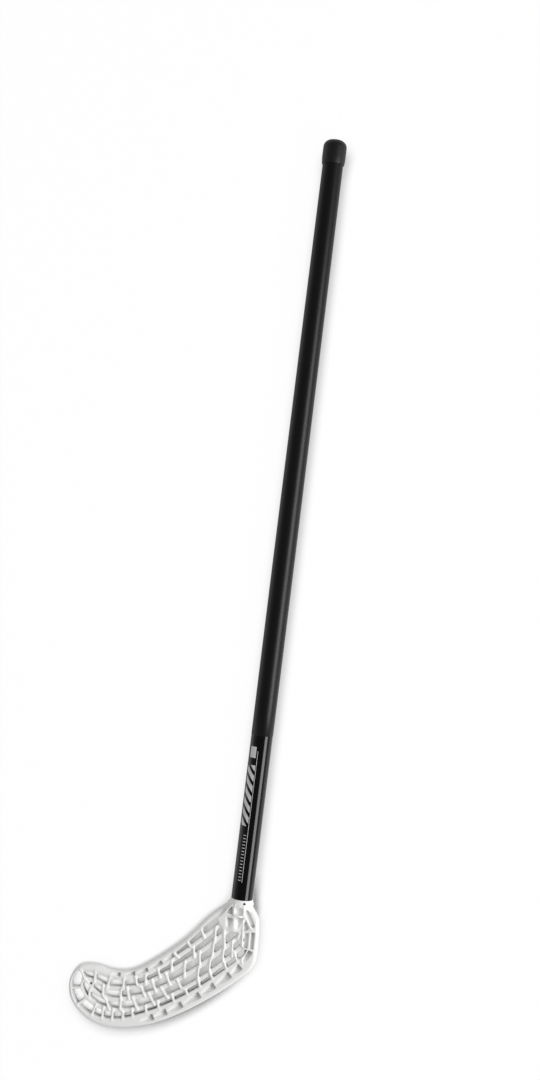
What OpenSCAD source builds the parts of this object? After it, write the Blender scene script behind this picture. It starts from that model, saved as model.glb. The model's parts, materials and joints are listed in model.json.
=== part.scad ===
// A floorball stick: a tapered hollow tube with a satin grip sleeve and a printed film, a rubber
// end cap, and a hooked openwork blade whose ribbed peg is pushed into the tube and held by a screw.
// The stick lies on its back: +Y runs along the tube to the cap, the blade points to -X, face up.

/* [Tube] */
// Length from the edge of the blade's collar to the top of the end cap
stick_len = 953; // [820:1:1040]
// Outside diameter of the bare tube over its lower part
tube_d = 26.7; // [25:0.1:29]
// Outside diameter of the bare tube under the end cap
tube_top_d = 25.2; // [22:0.1:26]
// Wall of the tube
tube_wall = 1.6; // [1.2:0.1:2.4]
// Length of the tube's end that sits inside the blade's collar
tube_overlap = 8; // [6:0.5:12]
// Distance from the collar at which the tube starts to narrow
taper_start = 427; // [300:1:600]
// Length of the straight stretch at the top of the tube
tube_top_straight = 60; // [45:5:120]

/* [Coverings] */
// Length of the glossy printed film, from the collar up
film_len = 205; // [120:1:280]
// Wall of the printed film
film_wall = 0.12; // [0.1:0.01:0.3]
// Wall of the satin grip sleeve
sleeve_wall = 0.3; // [0.2:0.05:0.8]

/* [End cap] */
// Largest diameter of the end cap
cap_d = 29.3; // [28.5:0.1:34]
// Diameter of the end cap at its lip
cap_lip_d = 27.8; // [27.2:0.1:28.4]
// Length of the end cap outside
cap_len = 32.5; // [30:0.5:40]
// Length of the straight barrel of the end cap
cap_barrel_len = 12; // [8:0.5:14]
// Radius of the rounded shoulder at the top of the end cap
cap_shoulder_r = 9; // [5:0.5:10]
// Thickness of the end wall of the end cap
cap_end_wall = 5; // [3:0.5:8]
// Length of the spigot that the end cap pushes into the tube
spigot_len = 26; // [12:1:28]
// Wall of that spigot
spigot_wall = 3; // [2:0.5:5]

/* [Blade] */
// Distance from the tube's axis to the tip of the toe
blade_reach = 200.5; // [180:0.5:230]
// Distance from the edge of the collar down to the lowest edge of the blade
blade_drop = 181.4; // [155:0.2:200]
// Distance from the edge of the collar down to where the blade's edges leave the neck
root_drop = 3; // [1:0.5:5]
// Radius of the arc that the blade is hooked to, from heel to toe
hook_r = 1150; // [900:10:2000]
// Thickness of the rim
rim_t = 12; // [10:0.5:14]
// Thickness of the net of bars and ribs inside the rim
net_t = 9; // [6:0.5:9.5]
// Width of the long bars that run from heel to toe
bar_w = 5.6; // [4:0.1:6.4]
// Width of the short ribs across the rows
rib_w = 3; // [2:0.1:3.6]
// Depth of the shallow pockets in the rim
scallop_depth = 3.5; // [1:0.5:6]
// Depth of the pockets in the neck
neck_pocket_depth = 4.5; // [2:0.5:6]

/* [Neck and peg] */
// Diameter of the collar that holds the end of the tube
collar_d = 28; // [27.8:0.1:30]
// Length of the collar
collar_len = 10; // [9:0.5:14]
// Distance from the edge of the collar to the foot of the tapered neck
neck_len = 44; // [38:1:50]
// Diameter of the rounded foot of the neck
neck_foot_d = 16; // [12.5:0.5:18]
// Lean of the neck towards the toe, in degrees
neck_lean = 10; // [0:1:14]
// Length of the peg above the collar, inside the tube
peg_len = 55; // [35:1:75]
// Wall of the hollow peg
peg_wall = 3; // [2.5:0.5:6]
// Number of grooves along the peg
peg_grooves = 10; // [6:1:12]
// Width of each groove
peg_groove_w = 3; // [2:0.5:4]
// Depth of each groove
peg_groove_depth = 0.8; // [0.4:0.1:1.4]

/* [Lock screw] */
// Distance from the edge of the collar down to the lock screw
screw_drop = 4; // [3.5:0.5:5]
// Turn of the screw about the tube, from the middle of the face towards the heel
screw_turn = 22; // [0:1:40]
// Diameter of the screw's shank
screw_d = 2.5; // [2:0.1:3]
// Diameter of its countersunk head
screw_head_d = 3.8; // [3.2:0.1:4.4]
// Length of the screw
screw_len = 7; // [5:0.5:9]
// Width of the cross in its head
screw_cross_w = 0.6; // [0.5:0.1:0.8]

/* [Fits] */
// Radial clearance of the tube's end, inside and outside it
peg_clear = 0.05; // [0.02:0.01:0.1]
// Radial clearance of the end cap, inside and outside the tube
cap_clear = 0.05; // [0.02:0.01:0.1]

/* [Hidden] */

tube_r = tube_d / 2;
tube_top_r = tube_top_d / 2;
bore_r = tube_r - tube_wall;
bore_top_r = tube_top_r - tube_wall;
tube_len = stick_len - cap_end_wall;
taper_end = tube_len - tube_top_straight;
cap_r = cap_d / 2;
cap_lip_r = cap_lip_d / 2;
cap_lip_y = stick_len - cap_len;
cap_bore_r = tube_top_r + sleeve_wall + cap_clear;
spigot_r = bore_top_r - cap_clear;
peg_r = bore_r - peg_clear;
collar_r = collar_d / 2;
skin_r = tube_r + film_wall;
screw_cross_len = screw_head_d * 0.7;
screw_sink = 0.2;
head_angle = 90;
head_h = (screw_head_d - screw_d) / 2 / tan(head_angle / 2);

// The stick is rolled about the tube's axis until the hooked back of the blade meets the floor
// that the end cap rests on.
roll = acos(1 - (cap_r - rim_t / 2) / hook_r);

// Blade shapes are drawn with u towards the toe and v down from the root of the blade, in
// millimetres of the drawn blade. This is its edge, from the heel side round by the toe.
EDGE = [
    [-13.4, 1], [-14, 5], [-18, 9.5], [-22, 15.5], [-25.2, 24], [-27, 50], [-25.5, 76],
    [-10, 95.5], [19, 121.5], [58, 149.5], [98.5, 170], [140, 178.4], [171.5, 172.5],
    [194.5, 151.5], [200.5, 127], [191, 107], [170, 104], [148, 108], [123.5, 104],
    [94, 83.5], [64.5, 57], [42, 28.5], [24, 10.5], [17.5, 5], [13.6, 1]
];
// Inner edge of the rim, round the net
RIM_INNER = [
    [24, 27], [31, 25.5], [46, 43], [60, 61], [76, 77], [92, 91.5], [110, 103], [130, 111.5],
    [150, 112.5], [168, 110], [187, 109.5], [195, 117], [197, 131], [194, 143.5],
    [185, 155.5], [172, 164.5], [155, 168.5], [135, 168.5], [105, 157.5], [70, 137],
    [35, 110], [10, 89], [-12, 64.5], [-9, 45], [0, 38.5], [10, 37], [18, 37]
];
// Centre lines of the long bars, and the outer edges of the first and last rows, heel to toe
ROW_TOP = [[16, 13], [28, 24], [44, 42.5], [58, 60], [76, 78]];
BAR_1 = [[12, 22.5], [22, 32.5], [42, 52.5], [57, 68], [80, 88.5], [107, 107], [132, 115.5],
    [150, 116], [170, 111.5], [188, 110]];
BAR_2 = [[-6, 40], [4, 37], [12, 38.5], [20, 47], [45, 72], [80, 101], [115, 123.5],
    [145, 130], [157, 128.5], [168, 124], [185, 121.5]];
BAR_3 = [[-10, 35], [-4, 42], [5, 52], [20, 67], [45, 91], [75, 114.5], [105, 133],
    [135, 142.5], [150, 143.5], [163, 139.5], [174, 133.5]];
BAR_4 = [[-14, 48], [-5, 58], [10, 75.5], [35, 100.5], [70, 127.5], [105, 148.5], [135, 156.5],
    [160, 155], [180, 147]];
ROW_FOOT = [[-18, 56], [0, 76.5], [22, 97.5], [50, 121], [86, 145], [125, 163.5],
    [150, 167.5], [172, 163.5]];
SCALLOP_TOP = [[66, 64], [75, 74], [90, 87], [106, 98.5], [121, 106], [140, 110], [160, 110]];
// Where the ribs of each row stand: at its upper edge, and at its lower edge
RIBS_1 = [[28, 22.5], [45.5, 41.5], [60, 56], [75.5, 71.5]];
RIBS_2 = [[18.5, 17.5], [28.3, 27.8], [53.5, 51], [78.3, 77.3], [94.5, 91], [109, 107.8],
    [121.3, 117.3], [135.2, 135.2], [152.5, 155], [171.5, 171], [188, 184.5]];
RIBS_3 = [[-2, -1], [17, 14.5], [28.8, 28.5], [44.8, 42.5], [61.5, 60.2], [84, 77.3], [100, 94],
    [113.8, 107.5], [130, 126.3], [137.2, 136.5], [160, 158.5], [171, 173.5]];
RIBS_4 = [[-5.5, -6.5], [5.5, 4.2], [15.5, 14.5], [30.5, 29.8], [43.8, 42.8], [68.5, 60.7],
    [87.3, 78.3], [102.3, 94.3], [121.8, 114.3], [135.8, 135.5], [155.5, 149], [175, 176]];
RIBS_5 = [[-8.5, -13], [1.5, -2.5], [13, 9.5], [28.8, 25.5], [42, 39.5], [57.5, 54.3],
    [72.8, 70], [89.8, 87.8], [104.3, 102.8], [120.8, 119], [131.8, 131], [144.4, 144.4],
    [156.3, 156.5], [168, 170]];
RIBS_TOP_SCALLOPS = [[74.5, 77], [89.5, 91], [105.5, 107.5], [121.5, 123.5], [139.5, 140]];
RIBS_FOOT_SCALLOPS = [[-13, -20], [-1.5, -7], [10.5, 5], [26.5, 21], [40, 35.5], [55, 50.5],
    [71, 67], [88.5, 85], [103, 100]];
// Openings round the end of the toe, corner by corner
TOE_OPENINGS = [
    [[196, 132], [188.5, 132.5], [186.8, 121.5], [190.5, 116.5], [195, 123.5]],
    [[194, 138], [187, 136], [180.5, 144.5], [188, 151.5]],
    [[184, 156], [177.5, 149.5], [169.8, 153], [172.5, 162.5]],
    [[173.5, 127], [180.5, 125.5], [175.5, 131]],
    [[181.5, 130.5], [184.5, 133.5], [180, 141], [178, 139.5]]
];
// Pockets in the face of the neck and down the heel, corner by corner, v from the collar's edge
NECK_POCKETS = [
    [[16.5, 18], [9.5, 8.5], [8, 18.5]],
    [[5, 8.5], [-3.5, 8.5], [-4, 20], [5, 18]],
    [[14, 23.5], [8.5, 22.5], [9, 35], [15, 35]],
    [[1, 21.5], [-4, 24], [-4.5, 37], [1, 37]],
    [[-7, 12], [-9.5, 12.5], [-19.5, 29], [-20.5, 36], [-17.5, 35], [-8.8, 21.5]],
    [[-7.5, 26.5], [-9.5, 26.5], [-14, 35], [-12.5, 38], [-8, 38]],
    [[-10, 42], [-13.8, 41.5], [-14.5, 58.5], [-10, 58.5]],
    [[-17, 39.5], [-21, 39.5], [-21.3, 60.5], [-17.2, 59.5]],
    [[-17, 63.5], [-21, 63.5], [-20.5, 72.5], [-14.5, 72.5]]
];

// Smooth curve through points, with the given number of steps between two of them
curve_steps = 5;
function spline(a, b, c, d, t) =
    0.5 * (2 * b + (c - a) * t + (2 * a - 5 * b + 4 * c - d) * t * t
        + (3 * b - a - 3 * c + d) * t * t * t);
function closed_curve(p) = let (n = len(p))
    [for (i = [0 : n - 1], k = [0 : curve_steps - 1])
        spline(p[(i + n - 1) % n], p[i], p[(i + 1) % n], p[(i + 2) % n], k / curve_steps)];
function open_curve(p) = let (n = len(p))
    [for (i = [0 : n - 2], k = [0 : curve_steps - 1])
        spline(p[max(i - 1, 0)], p[i], p[i + 1], p[min(i + 2, n - 1)], k / curve_steps),
        p[n - 1]];
// Height v of such a curve above a given u
function curve_v(p, u) = lookup(u, open_curve(p));
// A point moved square to its curve by a distance, down the blade where that is positive
function beside(p, u, d) = let (slope = curve_v(p, u + 1) - curve_v(p, u - 1))
    let (long = norm([2, slope])) [u - d * slope / long, curve_v(p, u) + d * 2 / long];

// From the drawn blade to the real one, in the tube's own frame, lowered by a drop
drawn_reach = max([for (p = EDGE) p[0]]);
drawn_drop = max([for (p = EDGE) p[1]]);
drawn_heel = -min([for (p = EDGE) p[0]]);
u_scale = blade_reach / drawn_reach;
v_scale = (blade_drop - root_drop) / drawn_drop;
function placed(points, drop = root_drop) =
    [for (p = points) [-p[0] * u_scale, -p[1] * v_scale - drop]];
heel_reach = drawn_heel * u_scale;
function hook_z(x) = hook_r - sqrt(hook_r * hook_r - x * x);

// Middle of the whole stick, seen from above
toe_x = -blade_reach * cos(roll) - (hook_z(blade_reach) + rim_t / 2) * sin(roll);
heel_x = heel_reach * cos(roll) + rim_t / 2 * sin(roll);
mid_x = (toe_x + heel_x) / 2;
mid_y = (stick_len - blade_drop) / 2;

module lying() {
    translate([-mid_x, -mid_y, cap_r]) rotate([0, -roll, 0]) children();
}
module along_tube() {
    rotate([-90, 0, 0]) children();
}
// A solid of revolution about the tube's axis, from points of radius and distance up the tube
module turned(points) {
    along_tube() rotate_extrude($fn = 96) polygon(points);
}
module rod(r, from, to) {
    translate([0, from, 0]) along_tube() cylinder(r = r, h = to - from, $fn = 96);
}

// Radius of the tube's outside, grown by a covering's wall, at its two ends
function tube_line(grow) = [
    [tube_r + grow, -tube_overlap], [tube_r + grow, taper_start],
    [tube_top_r + grow, taper_end], [tube_top_r + grow, tube_len]
];
function reversed(p) = [for (i = [len(p) - 1 : -1 : 0]) p[i]];

module shaft_tube() {
    color("#1b1b1d") lying() difference() {
        turned(concat(tube_line(0), reversed(tube_line(-tube_wall))));
        screw_space();
    }
}

module grip_sleeve() {
    color("#202124") lying() turned([
        [tube_r, film_len], [tube_r, taper_start], [tube_top_r, taper_end],
        [tube_top_r, tube_len], [tube_top_r + sleeve_wall, tube_len],
        [tube_top_r + sleeve_wall, taper_end], [tube_r + sleeve_wall, taper_start],
        [tube_r + sleeve_wall, film_len]
    ]);
}

module printed_film() {
    color("#0c0c0e") lying()
        turned([[tube_r, 0], [skin_r, 0], [skin_r, film_len], [tube_r, film_len]]);
}

// Quarter circle of the cap's shoulder, with a slight crown above it
crown_h = 1.2;
shoulder_steps = 10;
function shoulder() = [for (i = [0 : shoulder_steps]) let (a = 90 * i / shoulder_steps)
    [cap_r - cap_shoulder_r * (1 - cos(a)),
        stick_len - crown_h - cap_shoulder_r * (1 - sin(a))]];
lip_t = 1.2;

module end_cap() {
    barrel_top = stick_len - crown_h - cap_shoulder_r;
    color("#161618") lying() turned(concat(
        [[cap_bore_r, cap_lip_y], [cap_lip_r - 0.5, cap_lip_y], [cap_lip_r, cap_lip_y + lip_t],
            [cap_r, barrel_top - cap_barrel_len]],
        shoulder(),
        [[0, stick_len], [0, tube_len], [spigot_r - spigot_wall, tube_len],
            [spigot_r - spigot_wall, tube_len - spigot_len],
            [spigot_r - 0.8, tube_len - spigot_len], [spigot_r, tube_len - spigot_len + 2],
            [spigot_r, tube_len], [cap_bore_r, tube_len]]
    ));
}

// A slab bent to the hook, between two distances from its middle surface, positive at the back
module hooked_slab(front, back) {
    hook_span = asin((blade_reach + 10) / hook_r);
    heel_span = asin((heel_reach + 10) / hook_r);
    drop = blade_drop + 10;
    translate([0, 0, hook_r]) rotate([90, 0, 0]) rotate([0, 0, -90 - hook_span])
        rotate_extrude(angle = hook_span + heel_span, $fn = 720)
        translate([hook_r + front, 0]) square([back - front, drop]);
}

// One opening of a row: between two long lines and two ribs, its corners cut off
corner_cut = 0.9;
module opening(upper, lower, upper_gap, lower_gap, rib_a, rib_b) {
    ua = rib_a[0] + rib_w / 2;
    ub = rib_b[0] - rib_w / 2;
    la = rib_a[1] + rib_w / 2;
    lb = rib_b[1] - rib_w / 2;
    top = [for (u = [ua + corner_cut, (ua + ub) / 2, ub - corner_cut])
        beside(upper, u, upper_gap)];
    foot = [for (u = [lb - corner_cut, (la + lb) / 2, la + corner_cut])
        beside(lower, u, -lower_gap)];
    side_b = foot[0] - top[2];
    side_a = top[0] - foot[2];
    along_b = corner_cut * side_b / norm(side_b);
    along_a = corner_cut * side_a / norm(side_a);
    polygon(placed(concat(
        top, [top[2] + [corner_cut, 0] + along_b, foot[0] + [corner_cut, 0] - along_b],
        foot, [foot[2] - [corner_cut, 0] + along_a, top[0] - [corner_cut, 0] - along_a]
    )));
}
module row(upper, lower, upper_gap, lower_gap, ribs) {
    for (i = [0 : len(ribs) - 2])
        opening(upper, lower, upper_gap, lower_gap, ribs[i], ribs[i + 1]);
}
module corner_polygons(list, drop = root_drop) {
    for (points = list) polygon(placed(points, drop));
}

module blade_edge() {
    polygon(placed(closed_curve(EDGE)));
}
module openings() {
    half_bar = bar_w / 2;
    row(ROW_TOP, BAR_1, 0, half_bar, RIBS_1);
    row(BAR_1, BAR_2, half_bar, half_bar, RIBS_2);
    row(BAR_2, BAR_3, half_bar, half_bar, RIBS_3);
    row(BAR_3, BAR_4, half_bar, half_bar, RIBS_4);
    row(BAR_4, ROW_FOOT, half_bar, 0, RIBS_5);
    corner_polygons(TOE_OPENINGS);
}
module scallops() {
    scallop_gap = 2.2;
    foot_scallop_h = 7;
    row(SCALLOP_TOP, BAR_1, 0, bar_w / 2 + scallop_gap, RIBS_TOP_SCALLOPS);
    intersection() {
        row(ROW_FOOT, ROW_FOOT, scallop_gap, -scallop_gap - foot_scallop_h, RIBS_FOOT_SCALLOPS);
        blade_edge();
    }
}

module upright(from, to) {
    translate([0, 0, from]) linear_extrude(height = to - from) children();
}

module plate() {
    reach_z = hook_z(blade_reach) + rim_t;
    half_rim = rim_t / 2;
    half_net = net_t / 2;
    difference() {
        intersection() {
            upright(-rim_t, reach_z) difference() {
                blade_edge();
                openings();
            }
            hooked_slab(-half_rim, half_rim);
        }
        intersection() {
            upright(-rim_t, reach_z) polygon(placed(closed_curve(RIM_INNER)));
            union() {
                hooked_slab(-rim_t, -half_net);
                hooked_slab(half_net, rim_t);
            }
        }
        intersection() {
            upright(-rim_t, reach_z) scallops();
            hooked_slab(-rim_t, scallop_depth - half_rim);
        }
    }
}

// Points down the middle of the neck from the collar, and what stands about that line
module leaning() {
    translate([0, -collar_len, 0]) rotate([0, 0, -neck_lean]) rotate([90, 0, 0]) children();
}
module neck() {
    foot_r = neck_foot_d / 2;
    foot_h = neck_len - collar_len - foot_r;
    difference() {
        union() {
            rod(collar_r - 0.4, -1, 0);
            rod(collar_r, -collar_len, -1);
            leaning() union() {
                sphere(r = collar_r, $fn = 96);
                cylinder(r1 = collar_r, r2 = foot_r, h = foot_h, $fn = 96);
                translate([0, 0, foot_h]) sphere(r = foot_r, $fn = 96);
            }
        }
        upright(rim_t / 2 - neck_pocket_depth, rim_t * 2) corner_polygons(NECK_POCKETS, 0);
    }
}

module peg() {
    difference() {
        turned([[0, -tube_overlap - 1], [peg_r, -tube_overlap - 1], [peg_r, peg_len - 2],
            [peg_r - 1, peg_len], [peg_r - peg_wall, peg_len],
            [peg_r - peg_wall, peg_wall], [0, peg_wall]]);
        for (i = [0 : peg_grooves - 1]) rotate([0, (i + 0.5) * 360 / peg_grooves, 0])
            translate([-peg_groove_w / 2, 4, peg_r - peg_groove_depth])
            cube([peg_groove_w, peg_len, peg_groove_depth + 1]);
    }
}

module blade() {
    color("#ededea") lying() difference() {
        union() {
            difference() {
                union() {
                    difference() {
                        plate();
                        upright(rim_t / 2 - neck_pocket_depth, rim_t)
                            corner_polygons(NECK_POCKETS, 0);
                    }
                    neck();
                }
                rod(tube_r + peg_clear, -tube_overlap, tube_overlap);
            }
            peg();
        }
        screw_space();
    }
}

// The screw stands square to the tube, with its head just under the face of the collar
module at_screw() {
    rotate([0, screw_turn, 0]) translate([0, -screw_drop, collar_r - screw_sink]) children();
}
module screw_form() {
    translate([0, 0, -screw_len]) cylinder(r = screw_d / 2, h = screw_len, $fn = 48);
    translate([0, 0, -head_h])
        cylinder(r1 = screw_d / 2, r2 = screw_head_d / 2, h = head_h, $fn = 48);
}
module screw_space() {
    at_screw() union() {
        screw_form();
        cylinder(r = screw_head_d / 2, h = 2, $fn = 48);
    }
}
module lock_screw() {
    color("#2b2b2d") lying() at_screw() difference() {
        screw_form();
        translate([0, 0, -0.5]) for (a = [0, 90]) rotate([0, 0, a])
            translate([-screw_cross_len / 2, -screw_cross_w / 2, 0])
            cube([screw_cross_len, screw_cross_w, 1]);
    }
}

shaft_tube();
grip_sleeve();
printed_film();
end_cap();
blade();
lock_screw();
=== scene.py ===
"""Dresses the floorball stick: blade, coverings, end cap, screw and studio."""

import json
import math

import bmesh
import bpy
import numpy as np
import openvdb
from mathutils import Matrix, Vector


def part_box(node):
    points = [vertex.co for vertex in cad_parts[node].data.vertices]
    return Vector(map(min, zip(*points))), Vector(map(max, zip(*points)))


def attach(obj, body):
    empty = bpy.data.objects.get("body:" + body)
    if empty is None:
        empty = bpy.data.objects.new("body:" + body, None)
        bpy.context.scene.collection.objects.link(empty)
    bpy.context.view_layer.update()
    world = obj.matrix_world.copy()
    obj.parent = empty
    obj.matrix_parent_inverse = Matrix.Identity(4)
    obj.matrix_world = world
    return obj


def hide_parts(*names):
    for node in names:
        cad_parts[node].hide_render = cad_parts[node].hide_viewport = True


bl_info = {
    "name": "Floorball stick",
    "version": (1, 0, 0),
    "blender": (4, 5, 0),
    "location": "View3D > Sidebar > Stick",
    "description": "Builds the finish of a floorball stick on its CAD frame",
    "category": "Object",
}

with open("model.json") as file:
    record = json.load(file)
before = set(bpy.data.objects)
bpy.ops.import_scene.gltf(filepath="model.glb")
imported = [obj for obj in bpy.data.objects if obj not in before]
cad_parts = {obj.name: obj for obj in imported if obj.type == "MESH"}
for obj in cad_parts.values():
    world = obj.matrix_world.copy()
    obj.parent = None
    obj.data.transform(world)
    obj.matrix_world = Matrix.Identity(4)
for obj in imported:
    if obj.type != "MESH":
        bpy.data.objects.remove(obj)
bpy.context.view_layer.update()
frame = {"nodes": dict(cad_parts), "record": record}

MM = 0.001
MOUNTS = {m["name"]: m for m in frame["record"]["mounts"]}
AXIS_X = MOUNTS["cap_barrel"]["pos_m"][0] / MM
AXIS_Z = MOUNTS["cap_barrel"]["pos_m"][2] / MM
CAP_R = MOUNTS["cap_barrel"]["dims"]["r_mm"]
COLLAR_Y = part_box("printed_film")[0].y / MM
FILM_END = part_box("printed_film")[1].y / MM - COLLAR_Y
CAP_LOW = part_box("end_cap")[0].y / MM - COLLAR_Y
CAP_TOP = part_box("end_cap")[1].y / MM - COLLAR_Y

# How far the drawn blade's zero lies below the collar's edge, in millimetres.
ROOT_DROP = 3.0
# The lock screw: its distance from the collar's edge and its turn from the face, in degrees.
SCREW_DROP, SCREW_TURN = 4.0, 22.0
# The hole over it in the collar: its radius, and its floor's distance from the tube's axis.
HOLE_R, HOLE_FLOOR = 1.3, 12.6
# The drawn blade, in millimetres from the tube's axis at that zero, toe to the left: its
# outline, the inside of its rim, the middles of the four long bars, and the two lines on the
# rim where the first and the last row of cross ribs end.
EDGE = [
    (13.4, -1), (14, -5), (18, -9.5), (22, -15.5), (25.2, -24), (27, -50), (25.5, -76),
    (10, -95.5), (-19, -121.5), (-58, -149.5), (-98.5, -170), (-140, -178.4),
    (-171.5, -172.5), (-194.5, -151.5), (-200.5, -127), (-191, -107), (-170, -104),
    (-148, -108), (-123.5, -104), (-94, -83.5), (-64.5, -57), (-42, -28.5), (-24, -10.5),
    (-17.5, -5), (-13.6, -1),
]
RIM_INNER = [
    (-24, -27), (-31, -25.5), (-46, -43), (-60, -60.5), (-72, -73.5), (-75, -81),
    (-80, -88), (-92, -97), (-107, -106.5), (-120, -110), (-132, -114), (-145, -115.5),
    (-155, -114), (-170, -111), (-186, -110), (-191.5, -114), (-195.5, -120), (-197, -130),
    (-194, -143), (-185, -155.5), (-172, -163.5), (-150, -167.8), (-125, -163.8),
    (-86, -145.5), (-50, -121.5), (-22, -98), (0, -77), (11, -64), (9, -45), (0, -38.5),
    (-10, -37), (-18, -37),
]
ROW_TOP = [(-16, -13), (-28, -24), (-44, -42.5), (-58, -60), (-76, -78)]
BAR_1 = [
    (-12, -22.5), (-22, -32.5), (-42, -52.5), (-57, -68), (-80, -88.5), (-107, -107),
    (-132, -115.5), (-150, -116), (-170, -111.5), (-188, -110),
]
BAR_2 = [
    (6, -40), (-4, -37), (-12, -38.5), (-20, -47), (-45, -72), (-80, -101),
    (-115, -123.5), (-145, -130), (-157, -128.5), (-168, -124), (-185, -121.5),
]
BAR_3 = [
    (10, -35), (4, -42), (-5, -52), (-20, -67), (-45, -91), (-75, -114.5),
    (-105, -133), (-135, -142.5), (-150, -143.5), (-163, -139.5), (-174, -133),
]
BAR_4 = [
    (14, -48), (5, -58), (-10, -75.5), (-35, -100.5), (-70, -127.5), (-105, -148.5),
    (-135, -156.5), (-160.5, -154.3), (-168.5, -149.8), (-174, -146.5), (-178, -145.5),
]
ROW_FOOT = [
    (18, -56), (0, -76.5), (-22, -97.5), (-50, -121), (-86, -145), (-125, -163.5),
    (-150, -167.5), (-172, -163.5),
]
# Where each row's cross ribs meet the line above it and the line below it.
RIBS = [
    (ROW_TOP, BAR_1, [(-44.6, -40.6), (-59.1, -55.1), (-74.4, -70.4)]),
    (BAR_1, BAR_2, [
        (-17.1, -16.6), (-27.4, -26.9), (-52.6, -50.1), (-77.1, -76.1), (-93, -89.6),
        (-107.3, -106.1), (-119.5, -115.6), (-133.4, -133.4), (-150.6, -153.1),
        (-169.5, -169.5)]),
    (BAR_2, BAR_3, [
        (2.9, 1.9), (-16.1, -13.6), (-27.9, -27.6), (-43.9, -41.6), (-60.6, -59.3),
        (-82.7, -76.1), (-98.5, -92.6), (-112.1, -105.8), (-128.2, -124.5), (-135.4, -134.7),
        (-158.1, -156.6)]),
    (BAR_3, BAR_4, [
        (6.4, 7.4), (-4.6, -3.3), (-14.6, -13.6), (-29.6, -28.9), (-42.9, -41.9),
        (-67.5, -59.8), (-86, -77.1), (-100.7, -92.9), (-120, -112.6),
        (-134, -133.7), (-153.6, -147.1)]),
    (BAR_4, ROW_FOOT, [
        (9.4, 13.9), (-0.6, 3.4), (-12.1, -8.6), (-27.9, -24.6), (-41.1, -38.6),
        (-56.6, -53.4), (-71.7, -68.9), (-88.4, -86.5), (-102.7, -101.2),
        (-119, -117.3), (-130, -129.2), (-142.5, -142.5), (-154.4, -154.6),
        (-164.1, -167.4)]),
]
# Cross ribs of two rows that end closer than this on one bar run on as one rib.
RIB_REACH = 4.0
# How far a rib runs on past the middle of the last bar it meets, and over the rim.
RIB_OVERRUN = 2.4
# The shares of a rib's length between which it runs straight.
RIB_STRAIGHT = (0.2, 0.8)
# Rounding of the bars' and the ribs' edges, how much higher the ribs lie, and how far inside
# the blade's outline both end.
BAR_ROUNDING, RIB_ROUNDING = 1.3, 1.25
RIB_LIFT = 0.6
NET_MARGIN = 2.0
# Rounding of the rim's edges.
RIM_ROUNDING = 4.6
# Short walls round the end of the toe.
TOE_WALLS = [
    [(-188.5, -110), (-181.5, -121.3), (-176, -127.4), (-172, -131)],
    [(-182, -122.5), (-184.5, -128.5), (-183.6, -134), (-179, -140.5), (-174.5, -146)],
    [(-184, -133), (-198, -135)], [(-177.5, -146), (-187.5, -155.5)],
    [(-169.5, -124), (-172, -130.5), (-173.8, -136), (-173.4, -146.5)],
]
# The collar: its radius and half its length.
COLLAR_R, COLLAR_HALF = 14.0, 5.2
# The neck's core: the two ends of its middle line, and its radius at each.
CORE_TOP, CORE_FOOT = (0.0, -7.0), (-5.2, -32.0)
CORE_TOP_R, CORE_FOOT_R = 14.0, 8.5
# The flat web on the toe side of the neck: its corners, and the height of its face above
# two points.
NECK_WEB = [
    (-5, 0), (-11, -3.5), (-18.4, -14.5), (-27, -25), (-24, -32), (-18, -37.5), (-4, -37),
    (-3, -20),
]
WEB_TOP, WEB_FOOT = (-8, -5, 11.4), (-20, -27, 7.0)
# How far the face slopes on past those points, as a share of the way between them, and what
# turns a height above it into a distance.
WEB_PAST, WEB_LEAN = 0.3, 0.97
# Pockets sunk in the face: corners, then the floor's height at two ends of a line.
NECK_POCKETS = [
    ([(-17.4, -15.6), (-9.6, -5.4), (-8.2, -16.8)], (-9.4, -8), 4.5, (-15, -15.5), 6.5),
    ([(8.2, -7.8), (10.2, -9.5), (20.2, -26.5), (20.4, -29.5), (17.2, -30), (8.4, -16.5)],
     (10, -12), 4.0, (18.5, -29), 2.8),
    ([(8.6, -23.6), (10.2, -24.6), (13.6, -32), (12.4, -34.6), (7.8, -35.4), (7.3, -27)],
     (9, -25), 2.0, (10, -34), 3.0),
    ([(9.5, -38.2), (14.2, -38), (14.7, -56.5), (9.8, -56.4)], (11, -39), 2.8, (12, -56), 3.6),
    ([(17.4, -35.6), (22, -35.6), (22.2, -57.1), (17.6, -56.1)], (19, -36), 1.6, (19, -56), 3),
]
# Hollows that run along the face: start and its floor, end and its floor, half the
# width, how much higher the floor is at the sides, and how late it climbs.
NECK_HOLLOWS = [
    ((-11, -21.4), 2.0, (-13, -37.5), 8.3, 3.8, 4.0, 1.2),
    ((0.8, -19.2), 2.0, (-0.6, -37.5), 8.0, 4.6, 4.5, 1.3),
    ((-0.6, -16.5), 8.5, (-0.6, -5.8), 13.6, 5.2, 2.0, 5.0),
    ((17.4, -58.5), -1.5, (10.5, -75), 6.6, 4.3, 4.0, 1.4),
]
# Fine ridges: half their width, how far they stand above the neck's face, and their lines.
RIDGE_HALF, RIDGE_UP = 0.8, 0.7
NECK_RIDGES = [
    [(-5.4, -1.5), (-6.6, -6), (-6.3, -15.3), (-3.3, -16.7), (-0.3, -17.2), (2.4, -18.8)],
    [(5.3, -2.8), (5.7, -11), (6.3, -16.5), (10.2, -22.5), (13.8, -28.2), (18.2, -33.8)],
    [(5.8, -24), (6.1, -32), (6.5, -35.5), (7.4, -41), (7.9, -54), (10, -57)],
    [(6.6, -36), (14, -35.6), (21.5, -34.4)],
    [(15.8, -35.6), (16.2, -57)],
    [(9.8, -57), (15.9, -57.3), (21.5, -57.6)],
    [(16, -57.4), (13.6, -63), (9.7, -70.3), (11.2, -76.5)],
    [(-10.1, -5.0), (-17.6, -14.9)],
]
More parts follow.
